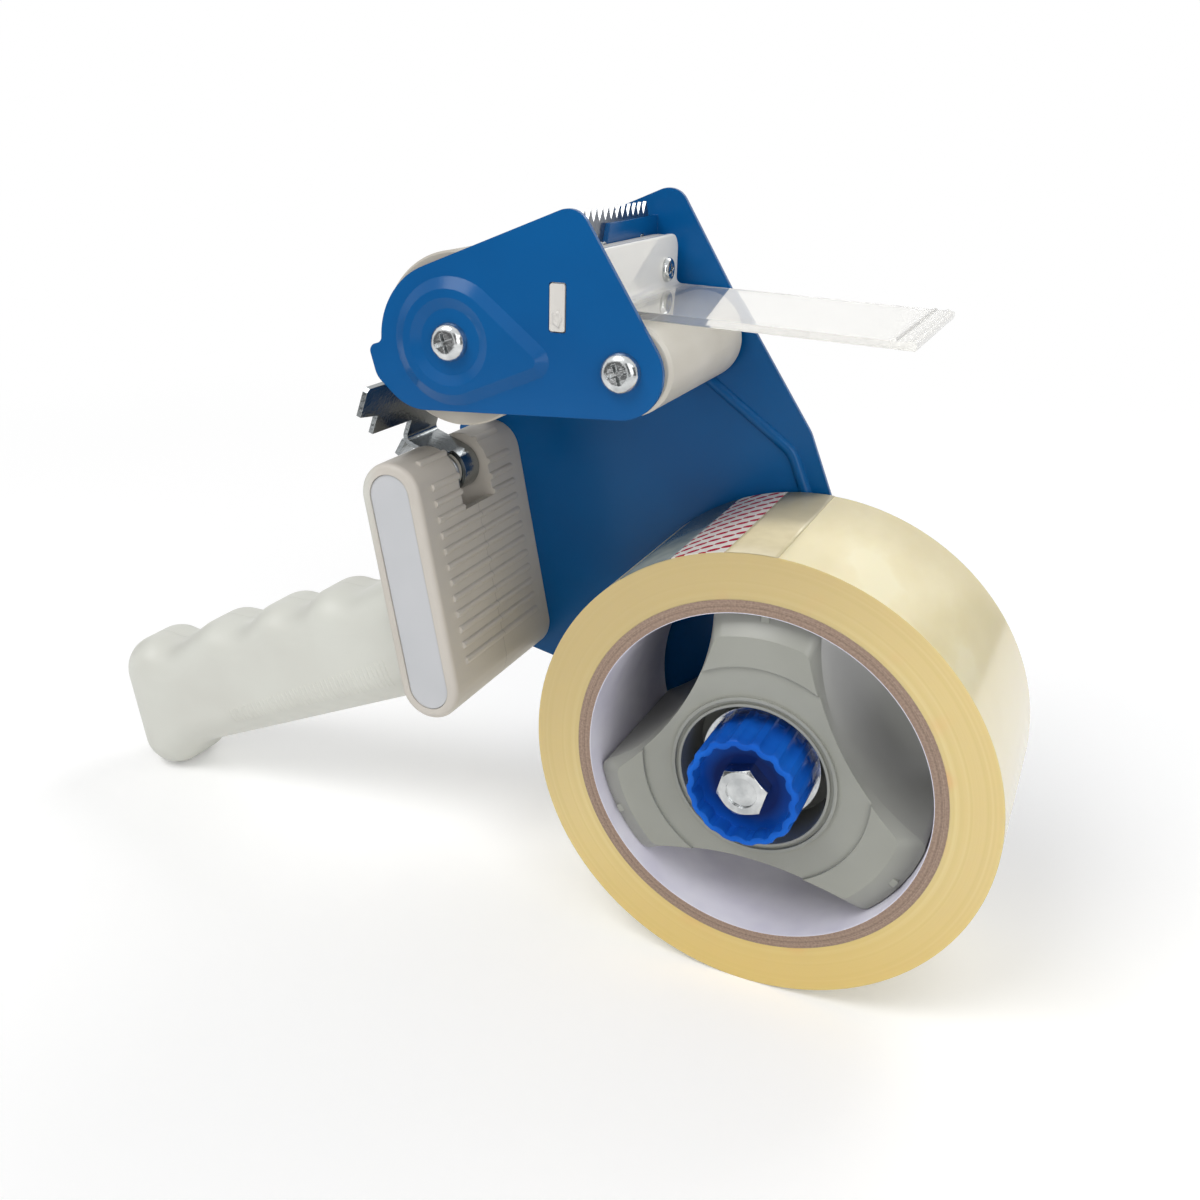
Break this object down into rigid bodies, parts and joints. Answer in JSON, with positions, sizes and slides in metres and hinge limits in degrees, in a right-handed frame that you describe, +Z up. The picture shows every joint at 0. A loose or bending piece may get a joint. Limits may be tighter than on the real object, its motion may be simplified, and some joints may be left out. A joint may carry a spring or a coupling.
{
  "type": "packing tape dispenser",
  "caption": "Hand-held packing tape dispenser: a blue sheet frame with a pistol grip, a tape roll on a braked core holder, an application roller, a toothed blade, a wiper and a sprung comb lever",
  "frame": {"origin": "On the floor, under the middle of the bounding box: the tape roll and the end of the grip rest on z = 0.", "axes": "+X from the end of the grip to the tape roll, +Y from the open near side to the frame plate, +Z up."},
  "size_m": [0.253, 0.064, 0.1735],
  "materials": {
    "blue_paint": "blue gloss stove enamel",
    "blue_plastic": "moulded blue plastic",
    "grey_plastic": "moulded grey plastic",
    "handle_plastic": "moulded light grey plastic",
    "panel_plastic": "smooth light grey plate",
    "bar_plastic": "moulded white plastic",
    "wiper_plastic": "clear flexible plastic sheet",
    "roller_plastic": "turned cream plastic",
    "roller_rubber": "smooth grey beige rubber",
    "zinc": "zinc plated steel",
    "spring_steel": "bright spring steel",
    "cardboard": "raw grey brown board",
    "liner_paper": "matt printed paper, left plain",
    "tape": "wound packing tape, seen from its edge",
    "strip": "white starter strip with red dashes"
  },
  "bodies": {
    "frame": {"main_side_plate": "blue_paint", "head_side_plate": "blue_paint", "handle_near_shell": "handle_plastic", "handle_far_shell": "handle_plastic", "label_panel": "panel_plastic", "shell_screws": "zinc", "handle_screws": "zinc", "roller_axle": "zinc", "guide_axle": "zinc", "axle_screws": "zinc", "wiper_bar": "bar_plastic", "wiper": "wiper_plastic", "wiper_screws": "zinc", "cutting_blade": "spring_steel", "blade_rivets": "zinc", "lever_pin": "zinc", "hub_spindle": "zinc", "lever_spring": "spring_steel"},
    "roller": {"roller_core": "roller_plastic", "roller_sleeve": "roller_rubber"},
    "guide": {"guide_roller": "roller_plastic"},
    "lever": {"comb_lever": "zinc", "lever_bush": "roller_plastic"},
    "hub": {"core_holder": "grey_plastic", "hub_bush": "roller_plastic", "brake_washer": "zinc", "brake_spring": "spring_steel"},
    "roll": {"tape_core": "cardboard", "core_liner": "liner_paper", "tape_roll": "tape", "starter_strip": "strip"},
    "thrust": {"thrust_washer": "zinc"},
    "brake_screw": {"adjusting_knob": "blue_plastic", "hub_bolt": "zinc"}
  },
  "joints": [
    {"name": "roller_spin", "type": "hinge", "parent": "frame", "child": "roller", "pos_m": [0.00385, -0.0005, 0.14268], "axis": [0, 1, 0], "continuous": true},
    {"name": "guide_spin", "type": "hinge", "parent": "frame", "child": "guide", "pos_m": [0.0444, -0.0005, 0.13887], "axis": [0, 1, 0], "continuous": true},
    {"name": "lever_tilt", "type": "hinge", "parent": "frame", "child": "lever", "pos_m": [-0.01503, 0, 0.10406], "axis": [0, 1, 0], "range_deg": [-35, 0], "stiffness_Nm_per_rad": 0.05, "springref_deg": 34.38},
    {"name": "hub_spin", "type": "hinge", "parent": "frame", "child": "hub", "pos_m": [0.07499, -0.0005, 0.0515], "axis": [0, 1, 0], "continuous": true},
    {"name": "roll_slide", "type": "slide", "parent": "hub", "child": "roll", "axis": [0, -1, 0], "range_m": [0, 0.055]},
    {"name": "brake_travel", "type": "slide", "parent": "frame", "child": "thrust", "axis": [0, 1, 0], "range_m": [-0.00098, 0.00098], "deforming": ["brake_spring"]},
    {"name": "knob_turn", "type": "hinge", "parent": "thrust", "child": "brake_screw", "pos_m": [0.07499, -0.0275, 0.0515], "axis": [0, 1, 0], "range_deg": [-355, 355]}
  ],
  "couplings": [
    {"joint": "knob_turn", "follows": "brake_travel", "rad_per_m": 6283.2}
  ]
}
